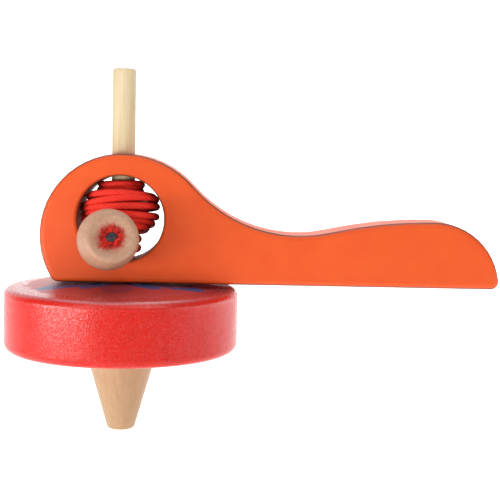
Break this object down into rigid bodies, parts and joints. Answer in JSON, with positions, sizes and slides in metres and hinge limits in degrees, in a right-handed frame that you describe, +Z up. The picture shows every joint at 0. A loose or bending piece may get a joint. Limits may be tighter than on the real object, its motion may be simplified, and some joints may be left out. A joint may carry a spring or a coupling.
{
  "type": "pull-string spinning top",
  "caption": "Wooden spinning top with a dowel stem held in a flat launching handle; a string wound on the stem in the handle's window is pulled by a toggle to spin it.",
  "frame": {"origin": "middle of the flat end of the tip, where the top stands on the ground", "axes": "+Z up along the stem, +X along the handle towards its far end, -Y out through the window towards the toggle"},
  "size_m": [0.1277, 0.0606, 0.094],
  "materials": {
    "orange_paint": "satin paint on wood",
    "red_lacquer": "gloss lacquer on wood, painted flower on the top face",
    "pale_dowel": "bare sanded dowel",
    "natural_wood": "turned wood, clear coat",
    "toggle_wood": "turned wood, bare",
    "red_string": "braided cotton"
  },
  "bodies": {
    "handle": {"handle": "orange_paint"},
    "winding": {"string_winding": "red_string"},
    "top": {"disc": "red_lacquer", "stem": "pale_dowel", "tip": "natural_wood"},
    "pull": {"string_tail": "red_string", "string_knot": "red_string", "toggle": "toggle_wood"}
  },
  "joints": [
    {"name": "top_spin", "type": "hinge", "parent": "handle", "child": "winding", "pos_m": [0, 0, 0.055], "axis": [0, 0, 1], "range_deg": [0, 6840]},
    {"name": "top_drop", "type": "slide", "parent": "winding", "child": "top", "axis": [0, 0, -1], "range_m": [0, 0.06]},
    {"name": "toggle_pull", "type": "slide", "parent": "handle", "child": "pull", "axis": [0, -1, 0], "range_m": [0, 0.73]}
  ],
  "couplings": [
    {"joint": "toggle_pull", "follows": "top_spin", "m_per_rad": 0.00605}
  ]
}
